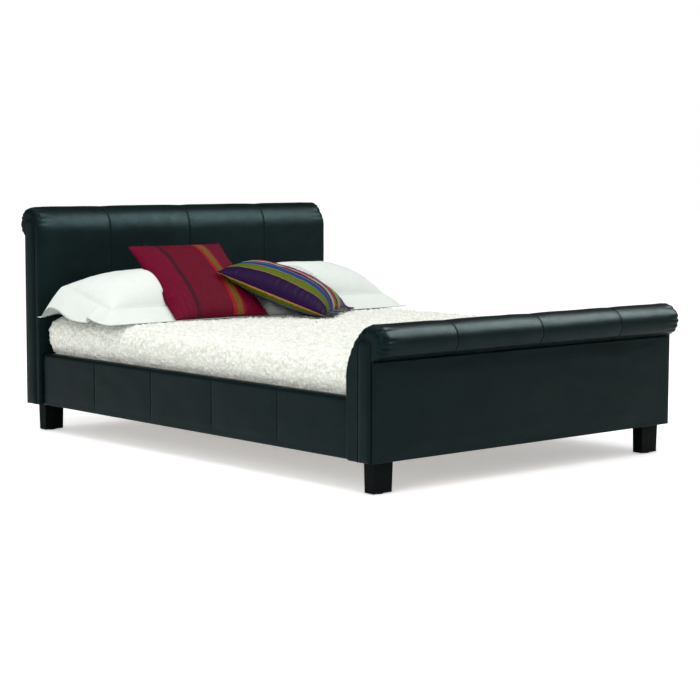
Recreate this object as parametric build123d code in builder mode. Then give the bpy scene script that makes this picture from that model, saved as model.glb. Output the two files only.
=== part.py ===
from build123d import *
import os
from math import cos, radians, sin
from types import SimpleNamespace

os.makedirs("parts", exist_ok=True)

# Sleigh bed: +X to the right, +Y towards the head, +Z up, in millimetres.
# The origin is on the floor, in the middle of the whole bed's box.

# Mattress, and the room round it
mattress_width = 1500
mattress_length = 2000
mattress_thickness = 230
mattress_lift = 144
mattress_side_gap = 10
mattress_end_gap = 10

# Ends, seen from the side: o is the distance outwards from the face beside the mattress
end_overhang = 72
leg_height = 118
leather = 2
front_board = 6
panel_thickness = 7
cap_thickness = 12
cap_reveal = 3
cap_side_gap = 0.2
piping_radius = 3
post_width = 90
cross_rail_height = 45
saddle_thickness = 18
saddle_count = 5
tube_wall = 5
tube_seat = 5
head = SimpleNamespace(
    name="headboard",
    out=1,
    height=977,
    depth=100,
    pad=26,
    straight_top=865,
    roll_radius=73.7,
    roll_pad=28,
    lip_angle=40,
    lip_height=850,
    cap_start=32,
    cap_width=61,
    cap_top=927,
    leg_setback=12,
    mid_rails=2,
)
foot = SimpleNamespace(
    name="footboard",
    out=-1,
    height=610,
    depth=141,
    pad=50,
    straight_top=418,
    roll_radius=64.4,
    roll_pad=28,
    lip_angle=45,
    lip_height=480,
    cap_start=68.5,
    cap_width=61,
    cap_top=559.5,
    leg_setback=59.5,
    mid_rails=1,
)
head.roll_out = head.roll_radius
foot.roll_out = foot.depth - 10

# Legs
leg_width = 94
leg_depth = 51.5
leg_inset = 39
leg_taper = 1.2
glide_height = 4
glide_radius = 18
leg_bolt_radius = 4
leg_bolt_length = 90
leg_bolt_spacing = 50

# Side rails
rail_inset = 20
rail_height = 227
rail_board = 25
rail_top_pad = 14
rail_leather = 1.5
rail_corner = 10
ledge = 30
bracket_plate = 4
bracket_width = 40
bracket_height = 76
bracket_length = 90
bracket_lift = 6
bracket_bolt_radius = 4
bracket_bolt_spacing = 40
bolt_head_radius = 7
bolt_head_height = 5
bolt_depth = 62
screw_radius = 2.5
screw_length = 22
screw_head = 2.5
hole_clearance = 0.15

# Slats, centre rail and its feet
slat_width = 70
slat_thickness = 8
slat_count = 14
slat_pitch = 140
slat_bow = 12
slat_crown_gap = 0.3
cap_wall = 2.5
cap_length = 32
centre_rail_width = 40
centre_rail_height = 60
centre_leg_radius = 18
centre_leg_wall = 2
centre_leg_offset = 480
foot_pad_radius = 22
foot_pad_height = 8
foot_stem_radius = 5
foot_stem_length = 60

# Bedding
spread_top = 12
spread_side = 8
spread_drop = 204
spread_corner = 45
mattress_corner = 60
rest_gap = 0.35
press_gap = 1
pillow_width = 835
pillow_depth = 560
pillow_height = 208
pillow_rim = 56
pillow_spacing = 10
pillow_head_gap = 20
cushion_rim = 6
red_size = 480
red_height = 114
red_centre_x = -258
red_from_head = 405
red_lift = 155
red_turn = -3
red_tilt = 38
striped_size = 515
striped_crown = 98
striped_belly = 62
striped_x = 128
striped_from_head = 526
striped_lift = 106
striped_turn = 38
striped_tilt = 21
fringe_length = 26
fringe_thickness = 5

inner_length = mattress_length + 2 * mattress_end_gap
foot_reach = foot.roll_out + foot.roll_radius
head_reach = head.roll_out + head.roll_radius
foot.inner_y = (foot_reach - head_reach - inner_length) / 2
head.inner_y = foot.inner_y + inner_length
half_end = mattress_width / 2 + end_overhang
half_frame = half_end - cap_thickness
half_cover = half_end - cap_reveal
rail_out = half_end - rail_inset
rail_in = mattress_width / 2 + mattress_side_gap
rail_top = leg_height + rail_height
bracket_base = leg_height + bracket_lift
mattress_base = leg_height + mattress_lift
slat_end_top = mattress_base - slat_crown_gap - slat_bow
ledge_top = slat_end_top - slat_thickness - cap_wall - 1
mattress_top = mattress_base + mattress_thickness
bed_top = mattress_top + spread_top


def keep(piece, label):
    """Label a finished piece and write it."""
    piece.part.label = label
    export_step(piece.part, f"parts/{label}.step")


def side_plane(end, x=0):
    """The plane of an end's side view: its x runs outwards from the mattress, its y up."""
    return Plane(origin=(x, end.inner_y, 0), x_dir=(0, end.out, 0), z_dir=(end.out, 0, 0))


def across(plane_x, z_dir=1):
    """A plane that faces along X at plane_x: its x runs towards the head, its y up."""
    return Plane(origin=(plane_x, 0, 0), x_dir=(0, z_dir, 0), z_dir=(z_dir, 0, 0))


def roll_centre(end):
    return (end.roll_out, end.height - end.roll_radius)


def end_outline(end, inset):
    """The side view of an end's padding, inset: straight face, rising curve, roll, lip and back."""
    o, z = roll_centre(end)
    lip = radians(end.lip_angle)
    roll_radius = end.roll_radius - inset
    lip_point = (o + roll_radius * cos(lip), z - roll_radius * sin(lip))
    tuck = (end.depth - inset, end.lip_height + inset)
    with BuildSketch() as outline:
        with BuildLine():
            Line((inset, leg_height + inset), (inset, end.straight_top))
            EllipticalCenterArc(
                (o, end.straight_top),
                o - inset,
                end.height - end.straight_top - inset,
                start_angle=90,
                arc_size=90,
            )
            CenterArc((o, z), roll_radius, -end.lip_angle, 90 + end.lip_angle)
            Line(lip_point, tuck)
            Line(tuck, (end.depth - inset, leg_height + inset))
            Line((end.depth - inset, leg_height + inset), (inset, leg_height + inset))
        make_face()
    return outline.sketch


def frame_depth(end):
    """Start and end of the timber frame, outwards."""
    return end.pad + front_board, end.depth - panel_thickness


def tube_radius(end):
    return end.roll_radius - end.roll_pad


def frame_top(end):
    """Top of the posts and of the top rail, under the roll tube."""
    return roll_centre(end)[1] - tube_radius(end) - tube_seat


def box_region(o_low, o_high, z_low, z_high):
    """A rectangle of the side view, by its limits."""
    with Locations(((o_low + o_high) / 2, (z_low + z_high) / 2)):
        Rectangle(o_high - o_low, z_high - z_low)


def core_region(end):
    """The room that the frame, front board and roll tube take inside the padding."""
    box_region(end.pad, end.depth + 1, leg_height - 1, frame_top(end))
    frame_start, frame_end = frame_depth(end)
    box_region(frame_start, frame_end, frame_top(end) - 1, roll_centre(end)[1])
    with Locations(roll_centre(end)):
        Circle(tube_radius(end))


def panel_region(end):
    """The room of the flat upholstered panel on the outer side."""
    box_region(end.depth - panel_thickness, end.depth + 30, leg_height - 1, end.lip_height)


def cap_outline(end, grow=0.0):
    """The arch-topped strip on each side of an end."""
    radius = end.cap_width / 2 + grow
    middle = end.cap_start + end.cap_width / 2
    spring = end.cap_top - end.cap_width / 2
    box_region(middle - radius, middle + radius, leg_height, spring)
    with Locations((middle, spring)):
        Circle(radius)


def padded_body(end, inset):
    """The whole outline of an end as a solid, inset by a thickness."""
    with BuildPart() as body:
        with BuildSketch(side_plane(end)):
            add(end_outline(end, inset))
        extrude(amount=half_cover - inset, both=True)
    return body.part


bolt_x = rail_in - 22
bolt_heights = [bracket_base + 18, bracket_base + 18 + bracket_bolt_spacing]


def bracket_rods(end, radius, start, stop):
    """Round rods where the bracket bolts run, from start to stop outwards."""
    plane = Plane(origin=(0, end.inner_y + end.out * start, 0), x_dir=(1, 0, 0), z_dir=(0, end.out, 0))
    with BuildPart() as rods:
        with BuildSketch(plane):
            with Locations([(x, -end.out * z) for x in (-bolt_x, bolt_x) for z in bolt_heights]):
                Circle(radius)
        extrude(amount=stop - start)
    return rods.part


def make_end(end):
    """All the pieces of one end."""
    start, stop = frame_depth(end)
    top = frame_top(end)
    centre = roll_centre(end)
    hole = bracket_bolt_radius + hole_clearance

    # Leather over the face, the roll and the sides
    with BuildPart() as cover:
        add(padded_body(end, 0))
        add(padded_body(end, leather), mode=Mode.SUBTRACT)
        with BuildSketch(side_plane(end)):
            core_region(end)
            panel_region(end)
        extrude(amount=half_frame, both=True, mode=Mode.SUBTRACT)
        with BuildSketch(side_plane(end)):
            panel_region(end)
            cap_outline(end, 2 * piping_radius + cap_side_gap)
        extrude(amount=half_end, both=True, mode=Mode.SUBTRACT)
        add(bracket_rods(end, hole, -1, end.pad), mode=Mode.SUBTRACT)
    keep(cover, f"{end.name}_cover")

    # Foam under the leather
    with BuildPart() as foam:
        add(padded_body(end, leather))
        with BuildSketch(side_plane(end)):
            core_region(end)
        extrude(amount=half_frame, both=True, mode=Mode.SUBTRACT)
        with BuildSketch(side_plane(end)):
            panel_region(end)
            cap_outline(end, 2 * piping_radius + cap_side_gap)
        extrude(amount=half_end, both=True, mode=Mode.SUBTRACT)
        add(bracket_rods(end, hole, -1, end.pad), mode=Mode.SUBTRACT)
    keep(foam, f"{end.name}_foam")

    # Thin front board that the foam is glued to
    with BuildPart() as board:
        with BuildSketch(side_plane(end)):
            box_region(end.pad, start, leg_height, top)
        extrude(amount=half_frame, both=True)
        add(bracket_rods(end, hole, end.pad - 1, start + 1), mode=Mode.SUBTRACT)
    keep(board, f"{end.name}_front_board")

    # Flat upholstered panel on the outer side
    with BuildPart() as panel:
        with BuildSketch(side_plane(end)):
            box_region(stop, end.depth, leg_height, end.lip_height)
        extrude(amount=half_end - 2 * piping_radius - cap_side_gap, both=True)
        outer_edges = panel.edges().filter_by(Axis.Z)
        fillet(outer_edges.group_by(Axis.Y)[-1 if end.out > 0 else 0], 3)
    keep(panel, f"{end.name}_panel")

    # Corner posts
    with BuildPart() as posts:
        for side in (-1, 1):
            with BuildSketch(Plane.XY.offset(leg_height)):
                post_x = side * (half_frame - post_width / 2)
                with Locations((post_x, end.inner_y + end.out * (start + stop) / 2)):
                    Rectangle(post_width, stop - start)
        extrude(amount=top - leg_height)
        add(bracket_rods(end, hole, start - 1, bolt_depth), mode=Mode.SUBTRACT)
        add(leg_bolt_rods(end, hole), mode=Mode.SUBTRACT)
    keep(posts, f"{end.name}_posts")

    # Cross rails between the posts
    rails = end.mid_rails + 2
    step = (top - leg_height - cross_rail_height) / (rails - 1)
    with BuildPart() as cross_rails:
        with BuildSketch(side_plane(end)):
            for index in range(rails):
                low = leg_height + index * step
                box_region(start, stop, low, low + cross_rail_height)
        extrude(amount=half_frame - post_width, both=True)
        add(leg_bolt_rods(end, hole), mode=Mode.SUBTRACT)
    keep(cross_rails, f"{end.name}_cross_rails")

    # Paper tube that gives the roll its shape, and the saddles that hold it
    with BuildPart() as tube:
        with BuildSketch(side_plane(end)):
            with Locations(centre):
                Circle(tube_radius(end))
                Circle(tube_radius(end) - tube_wall, mode=Mode.SUBTRACT)
        extrude(amount=half_frame, both=True)
    keep(tube, f"{end.name}_roll_tube")

    pitch = (2 * half_frame - saddle_thickness) / (saddle_count - 1)
    with BuildPart() as saddles:
        for index in range(saddle_count):
            x = -half_frame + saddle_thickness / 2 + index * pitch
            with BuildSketch(side_plane(end, x)):
                box_region(start, stop, top, centre[1])
                with Locations(centre):
                    Circle(tube_radius(end), mode=Mode.SUBTRACT)
            extrude(amount=saddle_thickness / 2, both=True)
    keep(saddles, f"{end.name}_tube_saddles")

    # Arch-topped end panels and the piping round them
    for side, word in ((-1, "left"), (1, "right")):
        with BuildPart() as cap:
            with BuildSketch(side_plane(end, side * half_frame)):
                cap_outline(end)
            extrude(amount=side * end.out * cap_thickness)
            outer = cap.faces().sort_by(Axis.X)[0 if side < 0 else -1]
            fillet(outer.edges().filter_by(lambda edge: edge.center().Z > leg_height + 1), 4)
        keep(cap, f"{end.name}_end_panel_{word}")

    middle = end.cap_start + end.cap_width / 2
    reach = end.cap_width / 2 + piping_radius + cap_side_gap / 2
    spring = end.cap_top - end.cap_width / 2
    with BuildPart() as piping:
        for side in (-1, 1):
            with BuildLine(side_plane(end, side * (half_end - piping_radius))):
                Line((middle - reach, leg_height), (middle - reach, spring))
                CenterArc((middle, spring), reach, 180, -180)
                Line((middle + reach, spring), (middle + reach, leg_height))
            with BuildSketch(
                Plane(
                    origin=(
                        side * (half_end - piping_radius),
                        end.inner_y + end.out * (middle - reach),
                        leg_height,
                    )
                )
            ):
                Circle(piping_radius)
            sweep()
    keep(piping, f"{end.name}_piping")

    # Tapered block legs
    for side, word in ((-1, "left"), (1, "right")):
        with BuildPart() as leg:
            with BuildSketch(Plane(origin=leg_centre(end, side) + (leg_height,), z_dir=(0, 0, -1))):
                Rectangle(leg_width, leg_depth)
            extrude(amount=leg_height - glide_height, taper=leg_taper)
            add(leg_bolt_rods(end, hole), mode=Mode.SUBTRACT)
        keep(leg, f"{end.name}_leg_{word}")


def leg_centre(end, side):
    """Middle of a leg, seen from above."""
    x = side * (half_end - leg_inset - leg_width / 2)
    return x, end.inner_y + end.out * (end.leg_setback + leg_depth / 2)


def leg_bolt_spots(end):
    """Two hanger bolts for each leg, seen from above."""
    spots = []
    for side in (-1, 1):
        x, y = leg_centre(end, side)
        spots += [(x - leg_bolt_spacing / 2, y), (x + leg_bolt_spacing / 2, y)]
    return spots


def leg_bolt_rods(end, radius, shorter=0):
    """Round rods where the hanger bolts run, half in the leg and half in the frame."""
    with BuildPart() as rods:
        with BuildSketch(Plane.XY.offset(leg_height - leg_bolt_length / 2 + shorter)):
            with Locations(leg_bolt_spots(end)):
                Circle(radius)
        extrude(amount=leg_bolt_length - 2 * shorter)
    return rods.part


make_end(head)
make_end(foot)

# Glides under the legs, and the hanger bolts that hold the legs
with BuildPart() as leg_glides:
    for end in (head, foot):
        for side in (-1, 1):
            with BuildSketch():
                with Locations(leg_centre(end, side)):
                    Circle(glide_radius)
    extrude(amount=glide_height)
    chamfer(leg_glides.edges().group_by(Axis.Z)[0], 1)
keep(leg_glides, "leg_glides")

with BuildPart() as leg_bolts:
    for end in (head, foot):
        add(leg_bolt_rods(end, leg_bolt_radius, 1))
keep(leg_bolts, "leg_bolts")

# Side rails: board, foam over its outer face and top, leather round both, and the slat ledge
rail_span = inner_length
middle_y = (head.inner_y + foot.inner_y) / 2
board_in = rail_in + rail_leather
board_out = board_in + rail_board
board_top = rail_top - rail_top_pad


def rail_bar(side, low, high, inner, outer, corner):
    """A bar of the rail's length, with its two top corners rounded."""
    plane = Plane(origin=(0, foot.inner_y, 0), x_dir=(side, 0, 0), z_dir=(0, -side, 0))
    with BuildPart() as bar:
        with BuildSketch(plane) as section:
            box_region(inner, outer, low, high)
            fillet(section.vertices().group_by(Axis.Y)[-1], corner)
        extrude(amount=-side * rail_span)
    return bar.part


def screw_rods(side, start, length, radius):
    """Round rods where the bracket screws run into a rail."""
    with BuildPart() as rods:
        with BuildSketch(across(side * start, side)):
            with Locations([(side * y, z) for y, z in screw_spots]):
                Circle(radius)
        extrude(amount=length)
    return rods.part


screw_spots = [
    (end.inner_y - end.out * step, bracket_base + bracket_height * share)
    for end in (head, foot)
    for step in (bracket_length * 0.4, bracket_length * 0.8)
    for share in (0.25, 0.75)
]

for side, word in ((-1, "left"), (1, "right")):
    screw_cut = screw_rods(side, rail_in - 1, screw_length + 1, screw_radius + hole_clearance)
    padding = rail_bar(
        side,
        leg_height + rail_leather,
        rail_top - rail_leather,
        board_in,
        rail_out - rail_leather,
        rail_corner - rail_leather,
    )
    with BuildPart() as board:
        add(rail_bar(side, leg_height + rail_leather, board_top, board_in, board_out, 2))
        add(screw_cut, mode=Mode.SUBTRACT)
    keep(board, f"side_rail_board_{word}")

    with BuildPart() as foam:
        add(padding)
        board = rail_bar(side, leg_height + rail_leather, board_top, board_in, board_out, 2)
        add(board, mode=Mode.SUBTRACT)
    keep(foam, f"side_rail_foam_{word}")

    with BuildPart() as cover:
        add(rail_bar(side, leg_height, rail_top, rail_in, rail_out, rail_corner))
        add(padding, mode=Mode.SUBTRACT)
        add(screw_cut, mode=Mode.SUBTRACT)
    keep(cover, f"side_rail_cover_{word}")

    with BuildPart() as slat_ledge:
        with BuildSketch(Plane.XY.offset(ledge_top - ledge)):
            with Locations((side * (rail_in - ledge / 2), middle_y)):
                Rectangle(ledge, rail_span - 2 * bracket_plate)
        extrude(amount=ledge)
        chamfer(slat_ledge.edges().filter_by(Axis.Y).group_by(Axis.Z)[0], 2)
    keep(slat_ledge, f"slat_ledge_{word}")

# Steel angle brackets that join the rails to the ends, their bolts and their screws
with BuildPart() as rail_brackets:
    for side in (-1, 1):
        for end in (head, foot):
            with BuildSketch(Plane.XY.offset(bracket_base)):
                with Locations(
                    (
                        side * (rail_in - bracket_plate / 2),
                        end.inner_y - end.out * bracket_length / 2,
                    )
                ):
                    Rectangle(bracket_plate, bracket_length)
                with Locations(
                    (
                        side * (rail_in - bracket_width / 2),
                        end.inner_y - end.out * bracket_plate / 2,
                    )
                ):
                    Rectangle(bracket_width, bracket_plate)
            extrude(amount=bracket_height)
    for end in (head, foot):
        add(
            bracket_rods(end, bracket_bolt_radius + hole_clearance, -bracket_plate - 1, 1),
            mode=Mode.SUBTRACT,
        )
    for side in (-1, 1):
        add(
            screw_rods(
                side, rail_in - bracket_plate - 1, bracket_plate + 2, screw_radius + hole_clearance
            ),
            mode=Mode.SUBTRACT,
        )
keep(rail_brackets, "rail_brackets")

with BuildPart() as bracket_bolts:
    for end in (head, foot):
        add(bracket_rods(end, bolt_head_radius, -bracket_plate - bolt_head_height, -bracket_plate))
        add(bracket_rods(end, bracket_bolt_radius, -bracket_plate, bolt_depth - 1))
keep(bracket_bolts, "bracket_bolts")

with BuildPart() as bracket_screws:
    for side in (-1, 1):
        add(screw_rods(side, rail_in - bracket_plate - screw_head, screw_head, 2 * screw_radius))
        add(screw_rods(side, rail_in - bracket_plate, bracket_plate + screw_length - 1, screw_radius))
keep(bracket_screws, "bracket_screws")

# Centre rail, held at each end by a steel hanger
hanger = 3
beam_low = ledge_top - centre_rail_height
with BuildPart() as centre_rail:
    with BuildSketch(Plane.XY.offset(beam_low)):
        with Locations((0, middle_y)):
            Rectangle(centre_rail_width, inner_length - 2 * hanger)
    extrude(amount=centre_rail_height)
    chamfer(centre_rail.edges().filter_by(Axis.Y).group_by(Axis.Z)[0], 2)
keep(centre_rail, "centre_rail")

with BuildPart() as centre_rail_hangers:
    for end in (head, foot):
        with BuildSketch(Plane.XY.offset(beam_low - hanger)):
            with Locations((0, end.inner_y - end.out * hanger / 2)):
                Rectangle(centre_rail_width + 50, hanger)
        extrude(amount=centre_rail_height - hanger)
        with BuildSketch(Plane.XY.offset(beam_low - hanger)):
            with Locations((0, end.inner_y - end.out * 25)):
                Rectangle(centre_rail_width, 50)
        extrude(amount=hanger)
keep(centre_rail_hangers, "centre_rail_hangers")

# Two steel centre legs, with threaded plugs and levelling feet
leg_low = foot_pad_height + 14
leg_top = beam_low - 3
leg_places = [(0, middle_y - centre_leg_offset), (0, middle_y + centre_leg_offset)]
with BuildPart() as centre_legs:
    with BuildSketch(Plane.XY.offset(leg_low)):
        with Locations(leg_places):
            Circle(centre_leg_radius)
            Circle(centre_leg_radius - centre_leg_wall, mode=Mode.SUBTRACT)
    extrude(amount=leg_top - leg_low)
    with BuildSketch(Plane.XY.offset(leg_top)):
        with Locations(leg_places):
            RectangleRounded(centre_rail_width, 80, 6)
    extrude(amount=beam_low - leg_top)
keep(centre_legs, "centre_legs")

with BuildPart() as centre_leg_plugs:
    with BuildSketch(Plane.XY.offset(leg_low)):
        with Locations(leg_places):
            Circle(centre_leg_radius - centre_leg_wall)
            Circle(foot_stem_radius + 0.4, mode=Mode.SUBTRACT)
    extrude(amount=22)
keep(centre_leg_plugs, "centre_leg_plugs")

for place, word in zip(leg_places, ("front", "rear")):
    with BuildPart() as levelling_foot:
        with BuildSketch():
            with Locations(place):
                Circle(foot_pad_radius)
        extrude(amount=foot_pad_height)
        chamfer(levelling_foot.edges().group_by(Axis.Z)[-1], 3)
        with BuildSketch(Plane.XY.offset(foot_pad_height)):
            with Locations(place):
                Circle(foot_stem_radius)
        extrude(amount=foot_stem_length)
    keep(levelling_foot, f"levelling_foot_{word}")

# Two rows of bowed slats, their end caps and the double caps on the centre rail
slat_in = 4
slat_out = rail_in - 4
slat_rows = [middle_y + (index - (slat_count - 1) / 2) * slat_pitch for index in range(slat_count)]


def slat_row(side, grow=0.0):
    """One row of bowed slats, grown by a clearance where it is used as a cutter."""
    ends = sorted((side * (slat_in - grow), side * (slat_out + grow)))
    middle = sum(ends) / 2
    top = slat_end_top + grow
    low = slat_end_top - slat_thickness - grow
    with BuildPart() as row:
        with BuildSketch(*row_planes()):
            with BuildLine():
                ThreePointArc((ends[0], top), (middle, top + slat_bow), (ends[1], top))
                Line((ends[1], top), (ends[1], low))
                ThreePointArc((ends[1], low), (middle, low + slat_bow), (ends[0], low))
                Line((ends[0], low), (ends[0], top))
            make_face()
        extrude(amount=slat_width / 2 + grow, both=True)
    return row.part


def row_planes():
    """A plane across the bed at each slat."""
    return [Plane(origin=(0, y, 0), x_dir=(1, 0, 0), z_dir=(0, -1, 0)) for y in slat_rows]


def cap_row(low, high):
    """Rubber caps over one stretch in X, slotted for the slats."""
    with BuildPart() as caps:
        with BuildSketch(*row_planes()):
            box_region(low, high, ledge_top, slat_end_top + 2 * cap_wall)
        extrude(amount=slat_width / 2 + cap_wall, both=True)
        for side in (-1, 1):
            add(slat_row(side, 0.1), mode=Mode.SUBTRACT)
    return caps.part


for side, word in ((-1, "left"), (1, "right")):
    with BuildPart() as slats:
        add(slat_row(side))
    keep(slats, f"slats_{word}")

    with BuildPart() as end_caps:
        add(cap_row(*sorted((side * (rail_in - 1 - cap_length), side * (rail_in - 1)))))
    keep(end_caps, f"slat_end_caps_{word}")

with BuildPart() as centre_caps:
    add(cap_row(-cap_length, cap_length))
keep(centre_caps, "slat_centre_caps")

# Mattress
with BuildPart() as mattress:
    with BuildSketch(Plane.XY.offset(mattress_base)):
        with Locations((0, middle_y)):
            RectangleRounded(mattress_width, mattress_length, mattress_corner)
    extrude(amount=mattress_thickness)
    fillet(mattress.edges().group_by(Axis.Z)[-1], spread_corner - spread_side)
    fillet(mattress.edges().group_by(Axis.Z)[0], 20)
keep(mattress, "mattress")

# Bedspread over the top, tucked down between the mattress and the bed all round
with BuildPart() as bedspread:
    with BuildSketch(Plane.XY.offset(bed_top - spread_drop)):
        with Locations((0, middle_y)):
            RectangleRounded(
                mattress_width + 2 * spread_side,
                mattress_length + 2 * spread_side,
                mattress_corner + spread_side,
            )
    extrude(amount=spread_drop)
    fillet(bedspread.edges().group_by(Axis.Z)[-1], spread_corner)
    add(mattress.part, mode=Mode.SUBTRACT)
keep(bedspread, "bedspread")


def lens_bar(plane, span, length, up, down, plump):
    """A bar with a lens-shaped section: sharp and even, or plump with a flat underside."""
    rim = cushion_rim / 2
    with BuildPart() as bar:
        with BuildSketch(plane):
            with BuildLine():
                if plump:
                    EllipticalCenterArc((0, rim), span / 2, up - rim, start_angle=0, arc_size=180)
                    Polyline(
                        (-span / 2, rim),
                        (-span / 2, -rim),
                        (-span * 0.42, -down),
                        (span * 0.42, -down),
                        (span / 2, -rim),
                        (span / 2, rim),
                    )
                else:
                    ThreePointArc((span / 2, rim), (0, up), (-span / 2, rim))
                    Line((-span / 2, rim), (-span / 2, -rim))
                    ThreePointArc((-span / 2, -rim), (0, -down), (span / 2, -rim))
                    Line((span / 2, -rim), (span / 2, rim))
            make_face()
        extrude(amount=length / 2 + 1, both=True)
    return bar.part


def crowned(plane, width, depth, up, down, plump=False):
    """A pad crowned both ways: where two lens-shaped bars cross."""
    front_view = Plane(origin=plane.origin, x_dir=plane.x_dir, z_dir=-plane.y_dir)
    side_view = Plane(origin=plane.origin, x_dir=plane.y_dir, z_dir=plane.x_dir)
    with BuildPart() as pad:
        add(lens_bar(front_view, width, depth, up, down, plump))
        add(lens_bar(side_view, depth, width, up, down, plump), mode=Mode.INTERSECT)
    return pad.part


def press_room(plane, size, down, gap):
    """What a cushion on this plane presses down, and its way up."""
    reach = size / 2 + gap
    low = -gap - cushion_rim / 2
    with BuildPart() as room:
        with BuildSketch(Plane(origin=plane.origin, x_dir=plane.y_dir, z_dir=plane.x_dir)):
            with BuildLine():
                ThreePointArc((-reach, low), (0, -down - gap), (reach, low))
                Polyline((reach, low), (reach + size, size), (-reach, size), (-reach, low))
            make_face()
        extrude(amount=reach, both=True)
    return room.part


def turned_plane(x, from_head, z, turn, tilt):
    """A cushion's plane: turned about the vertical, then leaned back."""
    along = Vector(cos(radians(turn)), sin(radians(turn)), 0)
    level = Vector(-sin(radians(turn)), cos(radians(turn)), 0)
    uphill = level * cos(radians(tilt)) + Vector(0, 0, sin(radians(tilt)))
    return Plane(origin=(x, head.inner_y - from_head, z), x_dir=along, z_dir=along.cross(uphill))


red_plane = turned_plane(red_centre_x, red_from_head, bed_top + red_lift, red_turn, red_tilt)
striped_plane = turned_plane(
    striped_x, striped_from_head, bed_top + striped_lift, striped_turn, striped_tilt
)

red_room = press_room(red_plane, red_size, red_height / 2, press_gap)
striped_room = press_room(striped_plane, striped_size, striped_belly, press_gap)
with BuildPart() as fringe_room:
    with BuildSketch(striped_plane.offset(-fringe_thickness / 2 - press_gap)):
        with Locations((0, -(striped_size + fringe_length) / 2)):
            Rectangle(striped_size + 2 * press_gap, fringe_length + 2 * press_gap)
    extrude(amount=striped_size)

# Two plump pillows against the head end, dented where the cushions lean on them
pillow_base = bed_top + rest_gap + pillow_rim
pillow_y = head.inner_y - pillow_head_gap - pillow_depth / 2
for side, word in ((-1, "left"), (1, "right")):
    place = Plane(origin=(side * (pillow_width + pillow_spacing) / 2, pillow_y, pillow_base))
    with BuildPart() as pillow:
        add(crowned(place, pillow_width, pillow_depth, pillow_height - pillow_rim, pillow_rim, True))
        add(red_room, mode=Mode.SUBTRACT)
        add(striped_room, mode=Mode.SUBTRACT)
        add(fringe_room.part, mode=Mode.SUBTRACT)
    keep(pillow, f"pillow_{word}")

# Red cushion leaning on the left pillow
with BuildPart() as cushion_red:
    add(crowned(red_plane, red_size, red_size, red_height / 2, red_height / 2))
    add(striped_room, mode=Mode.SUBTRACT)
keep(cushion_red, "cushion_red")

# Striped cushion leaning on the red one, with a tasselled fringe along its lower edge
with BuildPart() as cushion_striped:
    add(crowned(striped_plane, striped_size, striped_size, striped_crown, striped_belly))
keep(cushion_striped, "cushion_striped")

with BuildPart() as cushion_fringe:
    with BuildSketch(striped_plane.offset(-fringe_thickness / 2)):
        with Locations((0, -striped_size / 2 - fringe_length / 2)):
            Rectangle(striped_size - 2 * cushion_rim, fringe_length)
    extrude(amount=fringe_thickness)
keep(cushion_fringe, "cushion_fringe")
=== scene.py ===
from math import cos, pi, radians, sin

import bpy
import numpy as np
from mathutils import Matrix, Vector, noise
from mathutils.bvhtree import BVHTree


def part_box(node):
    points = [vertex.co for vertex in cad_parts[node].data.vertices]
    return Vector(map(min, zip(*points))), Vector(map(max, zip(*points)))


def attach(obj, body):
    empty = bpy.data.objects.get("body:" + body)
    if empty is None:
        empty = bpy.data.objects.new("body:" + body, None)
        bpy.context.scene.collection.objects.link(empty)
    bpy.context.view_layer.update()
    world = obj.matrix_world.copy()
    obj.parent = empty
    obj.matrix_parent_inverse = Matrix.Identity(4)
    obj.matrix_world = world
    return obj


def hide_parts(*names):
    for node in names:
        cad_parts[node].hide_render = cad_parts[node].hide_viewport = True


# Sleigh bed in metres: +X to the right seen from the foot end, +Y towards the head end, +Z up.
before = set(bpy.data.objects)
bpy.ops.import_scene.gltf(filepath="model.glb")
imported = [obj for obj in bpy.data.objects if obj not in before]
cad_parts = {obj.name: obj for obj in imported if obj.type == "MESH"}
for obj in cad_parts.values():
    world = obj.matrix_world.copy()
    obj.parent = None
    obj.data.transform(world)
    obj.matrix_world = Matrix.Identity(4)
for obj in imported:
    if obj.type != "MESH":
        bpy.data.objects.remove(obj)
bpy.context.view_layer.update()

# Camera: a long lens, off the left corner of the foot end and looking slightly down.
camera_place = (-5.2753, -6.0491, 1.1886)
camera_yaw = radians(41.49)
camera_pitch = radians(-5.708)
camera_roll = radians(0.167)
camera_data = bpy.data.cameras.new("long_lens")
camera_data.lens = 97.99
camera_data.sensor_width = 36
camera = bpy.data.objects.new("camera", camera_data)
bpy.context.scene.collection.objects.link(camera)
yawed = Matrix.Translation(camera_place) @ Matrix.Rotation(-camera_yaw, 4, "Z")
pitched = yawed @ Matrix.Rotation(pi / 2 + camera_pitch, 4, "X")
camera.matrix_world = pitched @ Matrix.Rotation(camera_roll, 4, "Z")
bpy.context.scene.camera = camera
bpy.context.scene.view_settings.view_transform = "Standard"


# Studio: a pale floor, a white surround, and softboxes overhead, to one side and for the gloss.
def linear(hex_colour):
    """A #rrggbb colour as the linear RGBA that the shaders take."""
    shares = [int(hex_colour[i : i + 2], 16) / 255 for i in (1, 3, 5)]
    flat = [s / 12.92 if s <= 0.04045 else ((s + 0.055) / 1.055) ** 2.4 for s in shares]
    return (*flat, 1.0)


def connect(material, node, inputs):
    """Sets a node's inputs, each to a value or to another node's socket."""
    for key, value in inputs.items():
        if isinstance(value, bpy.types.NodeSocket):
            material.node_tree.links.new(value, node.inputs[key])
        else:
            node.inputs[key].default_value = value


def add_node(material, kind, inputs=None, **settings):
    made = material.node_tree.nodes.new(kind)
    for setting, value in settings.items():
        setattr(made, setting, value)
    connect(material, made, inputs or {})
    return made


def new_material(name):
    """An empty node material with its Principled shader already joined to the output."""
    material = bpy.data.materials.new(name)
    material.use_nodes = True
    material.node_tree.nodes.clear()
    shader = add_node(material, "ShaderNodeBsdfPrincipled")
    add_node(material, "ShaderNodeOutputMaterial", {"Surface": shader.outputs[0]})
    return material, shader


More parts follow.
